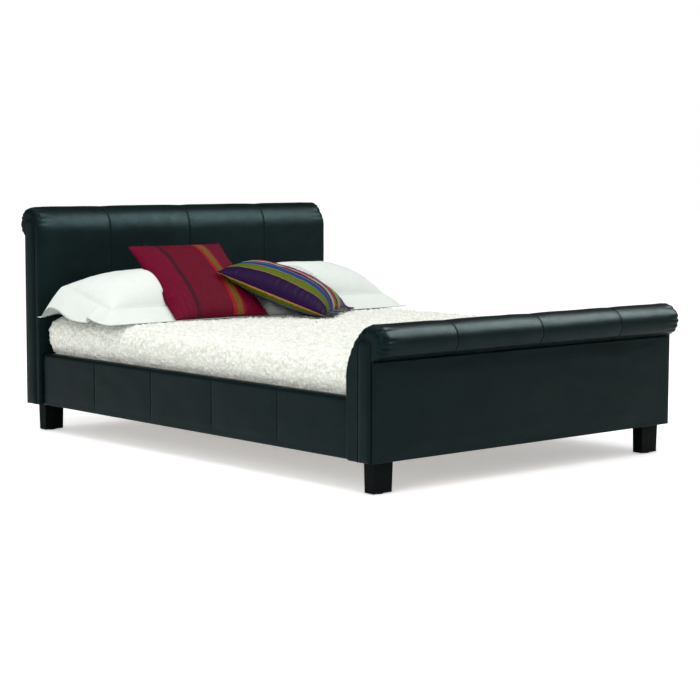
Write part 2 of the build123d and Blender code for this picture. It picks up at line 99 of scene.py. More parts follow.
def mix_colours(material, share, first, second):
    """Two colours mixed by a share. Each is a colour or a socket."""
    mix = add_node(material, "ShaderNodeMix", {0: share, 6: first, 7: second}, data_type="RGBA")
    return mix.outputs[2]


def add_relief(material, shader, *layers):
    """Bump layers, each given as (height, strength, distance), one on top of another."""
    normal = {}
    for height, strength, distance in layers:
        inputs = {"Height": height, "Strength": strength, "Distance": distance, **normal}
        normal = {"Normal": add_node(material, "ShaderNodeBump", inputs).outputs[0]}
    connect(material, shader, normal)


bpy.ops.object.select_all(action="DESELECT")
bpy.ops.mesh.primitive_plane_add(size=60)
floor = bpy.context.active_object
floor.name = "studio_floor"
painted_floor, shader = new_material("painted_studio_floor")
mottle = add_node(painted_floor, "ShaderNodeTexNoise", {"Scale": 0.6, "Detail": 2.0})
paint_shade = mix_colours(painted_floor, mottle.outputs[0], linear("#fafaf9"), linear("#fdfdfc"))
# The far floor is lifted to the surround's white in the view alone, and lights nothing
looked_at = add_node(painted_floor, "ShaderNodeLightPath").outputs["Is Camera Ray"]
lifted = add_node(painted_floor, "ShaderNodeMath", {0: looked_at, 1: 0.4}, operation="MULTIPLY")
connect(
    painted_floor,
    shader,
    {
        "Base Color": paint_shade,
        "Roughness": 0.9,
        "Specular IOR Level": 0.1,
        "Emission Color": linear("#ffffff"),
        "Emission Strength": lifted.outputs[0],
    },
)
floor.data.materials.append(painted_floor)

surround = bpy.data.worlds.new("white_surround")
surround.use_nodes = True
surround.node_tree.nodes["Background"].inputs["Color"].default_value = linear("#ffffff")
# The surround is seen as plain white, lights cloth evenly and is dim in gloss
seen = surround.node_tree.nodes.new("ShaderNodeLightPath")
in_gloss = surround.node_tree.nodes.new("ShaderNodeMix")
in_gloss.inputs[2].default_value = 0.72
in_gloss.inputs[3].default_value = 0.10
in_view = surround.node_tree.nodes.new("ShaderNodeMix")
in_view.inputs[3].default_value = 1.0
for start, end in (
    (seen.outputs["Is Glossy Ray"], in_gloss.inputs[0]),
    (seen.outputs["Is Camera Ray"], in_view.inputs[0]),
    (in_gloss.outputs[0], in_view.inputs[2]),
    (in_view.outputs[0], surround.node_tree.nodes["Background"].inputs["Strength"]),
):
    surround.node_tree.links.new(start, end)
bpy.context.scene.world = surround
for name, place, size, power, on_cloth in (
    ("overhead_softbox", (-1.0, -0.6, 5.0), 5.0, 150, True),
    ("gloss_softbox", (3.3, -2.6, 3.9), 3.4, 520, False),
    ("side_softbox", (-5.2, -3.2, 2.6), 2.4, 85, True),
):
    lamp = bpy.data.lights.new(name, "AREA")
    lamp.shape = "SQUARE"
    lamp.size = size
    lamp.energy = power
    softbox = bpy.data.objects.new(name, lamp)
    softbox.location = place
    softbox.visible_diffuse = on_cloth
    softbox.rotation_mode = "QUATERNION"
    towards_bed = Vector((0, 0, 0.5)) - Vector(place)
    softbox.rotation_quaternion = towards_bed.to_track_quat("-Z", "Y")
    bpy.context.scene.collection.objects.link(softbox)


# Upholstered ends: bonded leather over foam on a timber frame, curled outwards into a roll on top.
# The front and the roll are sewn from four widths, with pleats round each end of the roll.
def bonded_leather(name, dark, light, crease):
    """Embossed and finished hide: a fine pebble, soft creases and a satin topcoat."""
    material, shader = new_material(name)
    place = add_node(material, "ShaderNodeTexCoord").outputs["Object"]
    # Cloudy shade from the finishing spray, patches about 120 mm wide
    cloud = add_node(material, "ShaderNodeTexNoise", {"Vector": place, "Scale": 8.0, "Detail": 4.0})
    # Embossed pebble: the real 1.5 mm grain is too fine to show from here, so it is drawn at 4 mm
    pebble = add_node(
        material, "ShaderNodeTexVoronoi", {"Vector": place, "Scale": 250.0, "Randomness": 0.9}
    )
    # Pulled creases about 25 mm apart, broken up by their own noise
    pulled = add_node(
        material,
        "ShaderNodeTexNoise",
        {"Vector": place, "Scale": 38.0, "Detail": 5.0, "Roughness": 0.6, "Distortion": 0.8},
    )
    worn = add_node(
        material, "ShaderNodeMapRange", {0: cloud.outputs[0], 1: 0.35, 2: 0.7, 3: 0.0, 4: 1.0}
    )
    shade = mix_colours(material, worn.outputs[0], linear(dark), linear(light))
    in_grain = add_node(
        material, "ShaderNodeMapRange", {0: pebble.outputs[0], 1: 0.0, 2: 0.7, 3: 0.0, 4: 0.22}
    )
    gloss = add_node(
        material, "ShaderNodeMapRange", {0: pulled.outputs[0], 1: 0.3, 2: 0.7, 3: 0.33, 4: 0.43}
    )
    creases = (pulled.outputs[0], crease, 0.004)
    grain = (pebble.outputs[0], 0.22, 0.0008)
    add_relief(material, shader, creases, grain)
    connect(
        material,
        shader,
        {
            "Base Color": mix_colours(material, in_grain.outputs[0], shade, linear("#050808")),
            "Roughness": gloss.outputs[0],
            "IOR": 1.48,
            "Specular IOR Level": 0.13,
            "Specular Tint": linear("#b4ecf2"),
        },
    )
    return material


def vertex_places(piece):
    flat = np.zeros(len(piece.data.vertices) * 3)
    piece.data.vertices.foreach_get("co", flat)
    return flat.reshape(-1, 3)


def put_vertices(piece, places):
    piece.data.vertices.foreach_set("co", np.ascontiguousarray(places).ravel())
    piece.data.update()


def upholstery(name, rings, material):
    """Leather round padding: closed rings of points, one after another, with both ends closed."""
    rings = np.asarray(rings, float)
    rings = np.concatenate([rings, rings[:, :1]], axis=1)
    stations, around = rings.shape[:2]
    bpy.ops.object.select_all(action="DESELECT")
    bpy.ops.mesh.primitive_grid_add(x_subdivisions=stations - 1, y_subdivisions=around - 1, size=1)
    piece = bpy.context.active_object
    piece.name = piece.data.name = name
    flat = vertex_places(piece)
    station = np.rint((flat[:, 0] + 0.5) * (stations - 1)).astype(int)
    turn = np.rint((flat[:, 1] + 0.5) * (around - 1)).astype(int)
    put_vertices(piece, rings[station, turn])
    bpy.ops.object.mode_set(mode="EDIT")
    bpy.ops.mesh.select_all(action="SELECT")
    bpy.ops.mesh.remove_doubles(threshold=0.00005)
    bpy.ops.mesh.select_all(action="SELECT")
    bpy.ops.mesh.fill_holes(sides=0)
    bpy.ops.mesh.select_all(action="SELECT")
    bpy.ops.mesh.normals_make_consistent(inside=False)
    bpy.ops.object.mode_set(mode="OBJECT")
    bpy.ops.object.shade_smooth()
    piece.data.materials.append(material)
    return piece


def soft_step(value, low, high):
    """0 below low, 1 above high, and smooth between."""
    share = np.clip((value - low) / (high - low), 0, 1)
    return share * share * (3 - 2 * share)


def seam_relief(distance):
    """How far leather stands out near a seam: a narrow valley between two allowances."""
    valley = 0.0016 * np.exp(-((distance / 0.0025) ** 2))
    allowance = 0.0003 * np.exp(-(((distance - 0.007) / 0.004) ** 2))
    return allowance - valley


def seamed_stations(start, stop, seams, spacing):
    """Places along a length: evenly spaced, and close together at each seam."""
    near = (0, 0.0015, 0.003, 0.005, 0.008, 0.013, 0.02)
    close = [seam + side * step for seam in seams for step in near for side in (-1, 1)]
    even = np.linspace(start, stop, int((stop - start) / spacing) + 2)
    kept = [x for x in even if all(abs(x - seam) > 0.02 for seam in seams)]
    return np.unique(np.round([x for x in kept + close if start <= x <= stop], 5))


def drawn_line(start, stop, count):
    share = np.linspace(0, 1, count, endpoint=False)[:, None]
    return np.array(start) * (1 - share) + np.array(stop) * share


def drawn_arc(centre, radii, start, stop, count):
    angle = np.radians(np.linspace(start, stop, count, endpoint=False))
    across, up = radii[0] * np.cos(angle), radii[1] * np.sin(angle)
    return np.stack([centre[0] + across, centre[1] + up], 1)


end_half = 0.819
panel_recess = 0.0065
base = 0.118
front_steps, curve_steps, roll_steps = 40, 44, 56


def end_outline(shape, inset):
    """An end from the side, as (outwards, up) points: front, curve, roll, lip, back and base."""
    roll_o, roll_z, roll_r = shape["roll"]
    top = shape["straight_top"]
    lip = radians(shape["lip_angle"])
    lip_point = (roll_o + (roll_r - inset) * cos(lip), roll_z - (roll_r - inset) * sin(lip))
    back = shape["depth"] - panel_recess - inset
    tuck = (back, shape["lip_height"] + inset)
    rise = (roll_o - inset, roll_z + roll_r - top - inset)
    return np.concatenate(
        [
            drawn_line((inset, base + inset), (inset, top), front_steps),
            drawn_arc((roll_o, top), rise, 180, 90, curve_steps),
            drawn_arc(
                (roll_o, roll_z),
                (roll_r - inset, roll_r - inset),
                90,
                -shape["lip_angle"],
                roll_steps,
            ),
            drawn_line(lip_point, tuck, 7),
            drawn_line(tuck, (back, base + inset), 30),
            drawn_line((back, base + inset), (inset, base + inset), 12),
        ]
    )


def upholstered_end(name, shape, seams, material):
    """The whole leather body of an end, from one pleated end of its roll to the other."""
    outer = end_outline(shape, 0.0)
    trial_inset = 0.02
    step_in = (end_outline(shape, trial_inset) - outer) / trial_inset
    # The base corners of the front are softened, as the foam there is
    for _ in range(3):
        outer[:6] = (outer[:6] + np.roll(outer, 1, 0)[:6] + np.roll(outer, -1, 0)[:6]) / 3
    count = len(outer)
    index = np.arange(count)
    roll_end = front_steps + curve_steps + roll_steps
    # Rounding: large on the roll, small down the straight edges
    fades_in = soft_step(index, front_steps, front_steps + 26)
    on_roll = fades_in * (1 - soft_step(index, roll_end - 2, roll_end + 6))
    edge_rounding = 0.007
    rounding = edge_rounding + (shape["rounding"] - edge_rounding) * on_roll
    along = np.concatenate([[0], np.cumsum(np.linalg.norm(np.diff(outer, axis=0), axis=1))])
    flat_end = end_half - rounding.max()
    pleats_start = flat_end - 0.07
    main = seamed_stations(-pleats_start, pleats_start, seams, 0.022)
    pleated = np.linspace(pleats_start, flat_end, 12)[1:]
    # Pleats: gathers of uneven width, deepest at the edge of the end panel
    drift = np.array([noise.noise(Vector((s * 21, shape["depth"] * 9, 0))) for s in along])
    pleat_width = 0.030
    gather = np.abs(np.sin(pi * along / pleat_width + 2.8 * drift)) ** 0.7 - 0.6

    def ring(x, inset, tight):
        """One ring at x, moved in by inset; tight is how strongly the pleats show there."""
        bulge = np.zeros(count)
        edges = [-end_half, *seams, end_half]
        cell = np.searchsorted(edges, x, side="right") - 1
        cell = min(max(cell, 0), len(edges) - 2)
        share = (x - edges[cell]) / (edges[cell + 1] - edges[cell])
        puff = 0.0028 * (1 - abs(2 * share - 1) ** 5)
        relief = puff + sum(seam_relief(abs(x - seam)) for seam in seams)
        bulge += np.where(index < roll_end, relief, 0.0)
        slack = np.array(
            [
                noise.noise(Vector((x * 7, o * 10 + 3, z * 9)))
                + 0.5 * noise.noise(Vector((x * 19, o * 22, z * 24 + 5)))
                for o, z in outer
            ]
        )
        bulge += 0.0011 * slack
        bulge += 0.0085 * tight * gather * on_roll
        points = outer + step_in * (inset - bulge)[:, None]
        y = shape["inner_y"] + shape["out"] * points[:, 0]
        return np.stack([np.broadcast_to(x, count), y, points[:, 1]], 1)

    flush = np.zeros(count)
    middle = [ring(x, flush, 0.0) for x in main]
    right = []
    for x in pleated:
        share = (x - pleated[0]) / (flat_end - pleated[0])
        right.append(ring(x, flush, 0.55 * share**1.6))
    turning = [
        (rounding * (1 - cos(angle)), 0.55 + 0.45 * sin(angle), angle)
        for angle in np.linspace(0, pi / 2, 9)[1:]
    ]
    turning += [
        (rounding + deeper, 1.0 - deeper * 30, pi / 2) for deeper in (0.004, 0.009, 0.014)
    ]
    # The straight edges turn later than the roll, so no ring falls back behind the flat part
    for inset, tight, angle in turning:
        turned = ring(end_half, inset, tight)
        turned[:, 0] = np.maximum(end_half - rounding + rounding * sin(angle), flat_end)
        right.append(turned)
    left = [points * (-1, 1, 1) for points in right[::-1]]
    return upholstery(name, left + middle + right, material)


head = {
    "out": 1,
    "inner_y": 1.034,
    "depth": 0.100,
    "straight_top": 0.865,
    "roll": (0.0737, 0.9033, 0.0737),
    "lip_angle": 40,
    "lip_height": 0.850,
    "rounding": 0.026,
}
foot = {
    "out": -1,
    "inner_y": -0.986,
    "depth": 0.141,
    "straight_top": 0.418,
    "roll": (0.131, 0.5456, 0.0644),
    "lip_angle": 45,
    "lip_height": 0.480,
    "rounding": 0.031,
}
black_leather = bonded_leather("bonded_leather_satin_black", "#081314", "#0c191b", crease=0.10)
headboard = upholstered_end("headboard_upholstery", head, (-0.44, 0.0, 0.44), black_leather)
footboard = upholstered_end("footboard_upholstery", foot, (-0.45, 0.0, 0.45), black_leather)
for piece, word in ((headboard, "headboard"), (footboard, "footboard")):
    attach(piece, "bed_frame")
    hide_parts(f"{word}_cover", f"{word}_foam")


# Arch-topped end panels: a board under thin foam and leather, stapled over each side of the ends
# to hide where the leather is gathered. A piping cord in the same leather runs along both edges.
def arch_outline(middle, top, inset):
    """A strip standing on the base line with a round top, moved in by inset."""
    width = 0.061
    radius = width / 2 - inset
    spring = top - width / 2
    foot_line = base + inset
    return np.concatenate(
        [
            drawn_line((middle - radius, foot_line), (middle - radius, spring), 26),
            drawn_arc((middle, spring), (radius, radius), 180, 0, 22),
            drawn_line((middle + radius, spring), (middle + radius, foot_line), 26),
            drawn_line((middle + radius, foot_line), (middle - radius, foot_line), 8),
        ]
    )


for word, shape, arch_middle, arch_top in (
    ("headboard", head, 0.0625, 0.927),
    ("footboard", foot, 0.099, 0.5595),
):
    for side, hand in ((-1, "left"), (1, "right")):
        rings = []
        for inset, proud in (
            (0.0005, 0.8105),
            (0.0, 0.8175),
            (0.0008, 0.8195),
            (0.003, 0.8215),
            (0.007, 0.8230),
            (0.013, 0.8240),
            (0.020, 0.8244),
            (0.026, 0.8245),
        ):
            outline = arch_outline(arch_middle, arch_top, inset)
            slack = np.array(
                [0.0007 * noise.noise(Vector((o * 24, z * 13, side * 2))) for o, z in outline]
            )
            x = side * (proud + slack)
            y = shape["inner_y"] + shape["out"] * outline[:, 0]
            rings.append(np.stack([x, y, outline[:, 1]], 1))
        pad = upholstery(f"{word}_end_pad_{hand}", rings, black_leather)
        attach(pad, "bed_frame")
        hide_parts(f"{word}_end_panel_{hand}")


def paint(node_names, material):
    """Gives CAD nodes a material."""
    for node_name in node_names:
        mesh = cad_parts[node_name].data
        mesh.materials.clear()
        mesh.materials.append(material)


piping_leather = bonded_leather("bonded_leather_piping", "#070c0d", "#0c1212", crease=0.05)
paint(("headboard_piping", "footboard_piping"), piping_leather)


# Outer panels: thin board with a skin of foam and leather, screwed on to close both ends.
# The leather is one width, stapled at the back, and a little slack in the middle.
def panel_border(half_x, half_z):
    """A rectangle about the origin, drawn from its lower left corner."""
    corners = [(-half_x, -half_z), (half_x, -half_z), (half_x, half_z), (-half_x, half_z)]
    steps = (90, 30, 90, 30)
    ends = zip(corners, corners[1:] + corners[:1], steps)
    return np.concatenate([drawn_line(*side) for side in ends])


panel_leather = bonded_leather("bonded_leather_outer_panel", "#0a1415", "#0d1819", crease=0.16)
for word, shape, rows in (("headboard", head, 60), ("footboard", foot, 40)):
    low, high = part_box(f"{word}_panel")
    inner, outer = (low.y, high.y) if shape["out"] > 0 else (high.y, low.y)
    middle_z = (low.z + high.z) / 2
    half_x, half_z = high.x, (high.z - low.z) / 2
    rings = []
    for inset, depth_share in ((0.0, 0.0), (0.0, 0.6), (0.0012, 0.92), (0.004, 1.0)):
        border = panel_border(half_x - inset, half_z - inset)
        y = np.full(len(border), inner + (outer - inner) * depth_share)
        rings.append(np.stack([border[:, 0], y, border[:, 1] + middle_z], 1))
    # The face is closed towards its middle, ring by ring, so that it can carry slack
    face_edge = rings[-1][:, [0, 2]]
    for share in np.linspace(0.02, 0.98, rows):
        border = face_edge.copy()
        border[:, 0] *= 1 - share
        border[:, 1] = middle_z + (border[:, 1] - middle_z) * (1 - share)
        slack = np.array(
            [
                noise.noise(Vector((x * 3.1, 4 + shape["depth"], z * 4.5)))
                + 0.6 * noise.noise(Vector((x * 6 + z * 3, 9, z * 13)))
                for x, z in border
            ]
        )
        swell = 0.0035 * soft_step(share, 0, 0.35) + 0.0022 * slack * soft_step(share, 0, 0.12)
        y = outer + shape["out"] * swell
        rings.append(np.stack([border[:, 0], y, border[:, 1]], 1))
    skin = upholstery(f"{word}_outer_skin", rings, panel_leather)
    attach(skin, "bed_frame")
    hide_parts(f"{word}_panel")

# Side rails: a softwood board with foam on the outside and a thicker pad on top, in leather sewn
# from five equal widths. The leather is turned in under the board.
rail_width_sewn = 0.404
rail_seams = [foot["inner_y"] + rail_width_sewn * number for number in range(1, 5)]
for side, hand in ((-1, "left"), (1, "right")):
    low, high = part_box(f"side_rail_cover_{hand}")
    inner_x = high.x if side < 0 else low.x
    section = np.concatenate(
        [
            drawn_line((0.0, low.z + 0.002), (0.0, high.z - 0.016), 24),
            drawn_arc((0.016, high.z - 0.016), (0.016, 0.0165), 180, 90, 8),
            drawn_line((0.016, high.z + 0.0005), (0.026, high.z + 0.0005), 4),
            drawn_arc((0.026, high.z - 0.016), (0.0165, 0.0165), 90, 0, 8),
            drawn_line((0.0425, high.z - 0.016), (0.042, low.z + 0.006), 34),
            drawn_arc((0.036, low.z + 0.006), (0.006, 0.006), 0, -90, 4),
            drawn_line((0.036, low.z), (0.002, low.z), 8),
            drawn_arc((0.002, low.z + 0.002), (0.002, 0.002), 270, 180, 3),
        ]
    )
    stands_out = (section[:, 0] > 0.030).astype(float)
    ahead = np.roll(section, -1, 0) - np.roll(section, 1, 0)
    outward = np.stack([-ahead[:, 1], ahead[:, 0]], 1)
    outward /= np.linalg.norm(outward, axis=1)[:, None]
    rings = []
    edges = [low.y, *rail_seams, high.y]
    for y in seamed_stations(low.y + 0.0005, high.y - 0.0005, rail_seams, 0.02):
        cell = min(max(np.searchsorted(edges, y, side="right") - 1, 0), 4)
        share = (y - edges[cell]) / (edges[cell + 1] - edges[cell])
        puff = 0.0022 * (1 - abs(2 * share - 1) ** 6)
        relief = puff + sum(seam_relief(abs(y - seam)) for seam in rail_seams)
        slack = np.array(
            [noise.noise(Vector((side * 3, y * 8, z * 15 + o * 9))) for o, z in section]
        )
        top_side = soft_step(section[:, 1], low.z + 0.01, low.z + 0.05)
        moved = section + outward * ((relief + 0.0009 * slack) * stands_out * top_side)[:, None]
        x = inner_x + side * moved[:, 0]
        rings.append(np.stack([x, np.full(len(x), y), moved[:, 1]], 1))
    rail = upholstery(f"side_rail_upholstery_{hand}", rings, black_leather)
    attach(rail, "bed_frame")
    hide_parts(f"side_rail_cover_{hand}", f"side_rail_foam_{hand}")


# Timber: block legs, softwood posts, rails and ledges, plywood boards and bowed birch slats.
# All are sawn and planed, and the legs are sprayed with black satin lacquer.
def planed_wood(name, dark, light, axis, ring_width, roughness, coat):
    """Straight-grained timber: growth rings about ring_width apart, drawn out along one axis."""
    material, shader = new_material(name)
    place = add_node(material, "ShaderNodeTexCoord").outputs["Object"]
    stretch = [1.0, 1.0, 1.0]
    stretch[axis] = 0.06
    grain_place = add_node(material, "ShaderNodeMapping", {"Vector": place, "Scale": stretch})
    rings = add_node(
        material,
        "ShaderNodeTexNoise",
        {
            "Vector": grain_place.outputs[0],
            "Scale": 1 / ring_width,
            "Detail": 5.0,
            "Roughness": 0.65,
            "Distortion": 0.6,
        },
    )
    share = add_node(
        material, "ShaderNodeMapRange", {0: rings.outputs[0], 1: 0.32, 2: 0.68, 3: 0.0, 4: 1.0}
    )
    add_relief(material, shader, (rings.outputs[0], 0.25, 0.0006))
    connect(
        material,
        shader,
        {
            "Base Color": mix_colours(material, share.outputs[0], linear(dark), linear(light)),
            "Roughness": roughness,
            "Specular IOR Level": 0.06,
            "Coat Weight": coat,
            "Coat Roughness": 0.3,
        },
    )
    return material


def named(*parts):
    return [name for name in sorted(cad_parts) if any(part in name for part in parts)]


for name, dark, light, axis, ring_width, roughness, coat, *parts in (
    ("lacquered_beech_leg", "#030808", "#060f0f", 2, 0.004, 0.5, 0.0, "leg_left", "leg_right"),
    ("planed_pine_post", "#b98d56", "#dfbd87", 2, 0.005, 0.62, 0.0, "posts"),
    ("planed_pine_rail", "#b88c54", "#dcb982", 0, 0.005, 0.62, 0.0, "cross_rails", "tube_saddles"),
    (
        *("planed_pine_length", "#b58a53", "#dab881", 1, 0.005, 0.62, 0.0),
        *("slat_ledge", "centre_rail", "rail_board"),
    ),
    ("poplar_plywood", "#b9986a", "#d6bb8f", 0, 0.009, 0.66, 0.0, "front_board"),
    ("bent_birch_slat", "#c9a878", "#e6cda1", 0, 0.0045, 0.45, 0.2, "slats_left", "slats_right"),
):
    paint(named(*parts), planed_wood(name, dark, light, axis, ring_width, roughness, coat))


# Roll tubes, slat holders and hardware: wound paper tube, moulded rubber and nylon, powder-coated
# brackets and centre legs, and zinc-plated bolts and screws.
def moulded(name, colour, other, roughness, grit, height, metallic):
    """A moulded, sprayed or plated surface: one shade drifting into another under a fine grit."""
    material, shader = new_material(name)
    place = add_node(material, "ShaderNodeTexCoord").outputs["Object"]
    drift = add_node(
        material, "ShaderNodeTexNoise", {"Vector": place, "Scale": 30.0, "Detail": 3.0}
    )
    fine = add_node(
        material, "ShaderNodeTexNoise", {"Vector": place, "Scale": 1 / grit, "Detail": 2.0}
    )
    shade = mix_colours(material, drift.outputs[0], linear(colour), linear(other))
    add_relief(material, shader, (fine.outputs[0], 0.3, height))
    inputs = {"Base Color": shade, "Roughness": roughness, "Metallic": metallic}
    connect(material, shader, inputs)
    return material


for name, colour, other, roughness, grit, height, metallic, *parts in (
    ("wound_kraft_paper", "#8d6b48", "#a5845c", 0.85, 0.003, 0.0003, 0.0, "roll_tube"),
    ("moulded_rubber", "#17191a", "#202223", 0.7, 0.0015, 0.0002, 0.0, "end_caps", "centre_caps"),
    (
        *("moulded_nylon", "#141516", "#1e2021", 0.45, 0.002, 0.0002, 0.0),
        *("leg_glides", "centre_leg_plugs", "levelling_foot"),
    ),
    (
        *("powder_coated_steel", "#18191a", "#222425", 0.5, 0.0018, 0.0003, 0.0),
        *("rail_brackets", "centre_legs", "centre_rail_hangers"),
    ),
    (
        *("zinc_plated_steel", "#b9bbb8", "#d0d1cc", 0.32, 0.0012, 0.00008, 1.0),
        *("bracket_bolts", "bracket_screws", "leg_bolts"),
    ),
):
    paint(named(*parts), moulded(name, colour, other, roughness, grit, height, metallic))

# Mattress: a sprung mattress in woven damask ticking, with rounded corners, taped edges top and
# bottom and a quilted underside.
def mattress_loop(low, high, inset):
    """The mattress's outline from above, moved in by inset, with a point every 30 mm."""
    corner, spacing = 0.06, 0.03
    radius = max(corner - inset, 0.004)
    x0, x1, y0, y1 = low.x + inset, high.x - inset, low.y + inset, high.y - inset
    across, along = int((high.x - low.x) / spacing), int((high.y - low.y) / spacing)
    turn = (radius, radius)
    return np.concatenate(
        [
            drawn_line((x0 + radius, y0), (x1 - radius, y0), across),
            drawn_arc((x1 - radius, y0 + radius), turn, -90, 0, 10),
            drawn_line((x1, y0 + radius), (x1, y1 - radius), along),
            drawn_arc((x1 - radius, y1 - radius), turn, 0, 90, 10),
            drawn_line((x1 - radius, y1), (x0 + radius, y1), across),
            drawn_arc((x0 + radius, y1 - radius), turn, 90, 180, 10),
            drawn_line((x0, y1 - radius), (x0, y0 + radius), along),
            drawn_arc((x0 + radius, y0 + radius), turn, 180, 270, 10),
        ]
    )


def quilted(x, y):
    """How far a diamond-quilted face swells between its stitched valleys."""
    diamond = 0.13
    first = np.abs(np.sin(pi * (x + y) / diamond))
    second = np.abs(np.sin(pi * (x - y) / diamond))
    return 0.006 * np.minimum(first, second) ** 0.5


low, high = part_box("mattress")
rings = []
for inset in (*np.linspace(0.70, 0.10, 16), 0.07, 0.045, 0.025):
    x, y = mattress_loop(low, high, inset).T
    rings.append(np.stack([x, y, low.z + 0.007 - quilted(x, y)], 1))
for inset, z in (
    (0.012, low.z + 0.003),
    (0.009, low.z),
    (0.004, low.z),
    (0.0, low.z + 0.004),
    (0.004, low.z + 0.009),
    (0.008, low.z + 0.014),
    (0.004, low.z + 0.04),
    (0.002, low.z + 0.08),
    (0.001, low.z + 0.115),
    (0.002, high.z - 0.08),
    (0.004, high.z - 0.04),
    (0.008, high.z - 0.014),
    (0.004, high.z - 0.009),
    (0.001, high.z - 0.004),
    (0.006, high.z),
    (0.012, high.z - 0.003),
):
    x, y = mattress_loop(low, high, inset).T
    rings.append(np.stack([x, y, np.full(len(x), z)], 1))
for inset in (0.03, 0.10, 0.25, 0.45, 0.70):
    x, y = mattress_loop(low, high, inset).T
    rings.append(np.stack([x, y, np.full(len(x), high.z - 0.001)], 1))


def woven_cloth(name, shade, light, thread, relief, creases, roughness, sheen):
    """Plain woven cloth: threads crossing at a spacing in metres, and soft creases."""
    material, shader = new_material(name)
    place = add_node(material, "ShaderNodeTexCoord").outputs["Object"]
    # A wave texture of scale 1 repeats every 0.314 m
    bands = {"Vector": place, "Scale": 0.314 / thread, "Distortion": 0.6, "Detail Scale": 1.5}
    warp, weft = (
        add_node(material, "ShaderNodeTexWave", bands, bands_direction=axis) for axis in "XY"
    )
    weave = add_node(
        material, "ShaderNodeMath", {0: warp.outputs[1], 1: weft.outputs[1]}, operation="MULTIPLY"
    )
    cloud = add_node(material, "ShaderNodeTexNoise", {"Vector": place, "Scale": 9.0, "Detail": 4.0})
    pulled = add_node(
        material,
        "ShaderNodeTexNoise",
        {"Vector": place, "Scale": 22.0, "Detail": 3.0, "Distortion": 0.9},
    )
    soft = (pulled.outputs[0], creases, 0.006)
    threads = (weave.outputs[0], relief, 0.0006)
    add_relief(material, shader, soft, threads)
    connect(
        material,
        shader,
        {
            "Base Color": mix_colours(material, cloud.outputs[0], linear(shade), linear(light)),
            "Roughness": roughness,
            "Specular IOR Level": 0.2,
            "Sheen Weight": sheen,
            "Sheen Roughness": 0.5,
        },
    )
    return material


ticking = woven_cloth(
    "damask_ticking",
    "#d8d6ce",
    "#ebe9e2",
    thread=0.0025,
    relief=0.35,
    creases=0.15,
    roughness=0.75,
    sheen=0.2,
)
mattress = upholstery("quilted_mattress", rings, ticking)
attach(mattress, "mattress")
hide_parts("mattress")

# Bedspread: one width of curly long-pile fleece laid over the mattress and tucked down inside
# the rails all round. The pile stands up in small curls, so the surface is never smooth.
low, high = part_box("bedspread")
bpy.ops.object.select_all(action="DESELECT")
pile_room = Vector((0.006, 0.006, 0.006))
bpy.ops.mesh.primitive_cube_add(size=1, location=(low + high) / 2, scale=high - low - pile_room)
bedspread = bpy.context.active_object
bedspread.name = bedspread.data.name = "fleece_bedspread"
bpy.ops.object.transform_apply(location=True, rotation=True, scale=True)


def select_edges(piece, wanted):
    """Selects the edges whose two ends both meet a test."""
    bpy.ops.object.mode_set(mode="EDIT")
    bpy.ops.mesh.select_mode(type="EDGE")
    bpy.ops.mesh.select_all(action="DESELECT")
    bpy.ops.object.mode_set(mode="OBJECT")
    for edge in piece.data.edges:
        ends = [piece.data.vertices[v].co for v in edge.vertices]
        edge.select = wanted(*ends)
    bpy.ops.object.mode_set(mode="EDIT")


select_edges(bedspread, lambda a, b: abs(a.z - b.z) > 0.1)
bpy.ops.mesh.bevel(offset=0.035, segments=6)
select_edges(bedspread, lambda a, b: a.z > high.z - 0.01 and b.z > high.z - 0.01)
bpy.ops.mesh.bevel(offset=0.046, segments=8)
bpy.ops.object.mode_set(mode="OBJECT")
bedspread.data.remesh_voxel_size = 0.0085
bpy.ops.object.voxel_remesh()
# The underside is cut away, so that what is left is one sheet
bpy.ops.object.mode_set(mode="EDIT")
bpy.ops.mesh.select_mode(type="FACE")
bpy.ops.mesh.select_all(action="DESELECT")
bpy.ops.object.mode_set(mode="OBJECT")
for face in bedspread.data.polygons:
    face.select = face.normal.z < -0.5
bpy.ops.object.mode_set(mode="EDIT")
bpy.ops.mesh.delete(type="FACE")
bpy.ops.object.mode_set(mode="OBJECT")
places = vertex_places(bedspread)
normals = np.zeros(places.size)
bedspread.data.vertices.foreach_get("normal", normals)
curl = np.array([noise.voronoi(Vector(p * 58))[0][0] for p in places])
swell = np.array([noise.noise(Vector((p[0] * 3.5, p[1] * 3.5, p[2] * 6))) for p in places])
tuft = np.array([noise.noise(Vector(p * 140)) for p in places])
pile = 0.0084 - 0.017 * curl + 0.0044 * tuft + 0.0022 * swell
pile = np.clip(pile, -0.0040, 0.0085)
places += normals.reshape(-1, 3) * pile[:, None]
# The sides belly out a little over the tops of the rails
rail_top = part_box("side_rail_cover_left")[1].z
share = np.clip((places[:, 2] - rail_top) / (high.z - rail_top), 0, 1)
belly = 0.030 * np.sin(pi * share) * soft_step(np.abs(places[:, 0]), 0.60, 0.74)
places[:, 0] += np.sign(places[:, 0]) * belly
put_vertices(bedspread, places)
bpy.ops.object.shade_smooth()
curly_fleece, shader = new_material("curly_polyester_fleece")
place = add_node(curly_fleece, "ShaderNodeTexCoord").outputs["Object"]
warped = add_node(
    curly_fleece, "ShaderNodeTexNoise", {"Vector": place, "Scale": 60.0, "Detail": 3.0}
)
bent = add_node(
    curly_fleece,
    "ShaderNodeMix",
    {0: 0.03, 4: place, 5: warped.outputs[1]},
    data_type="VECTOR",
)
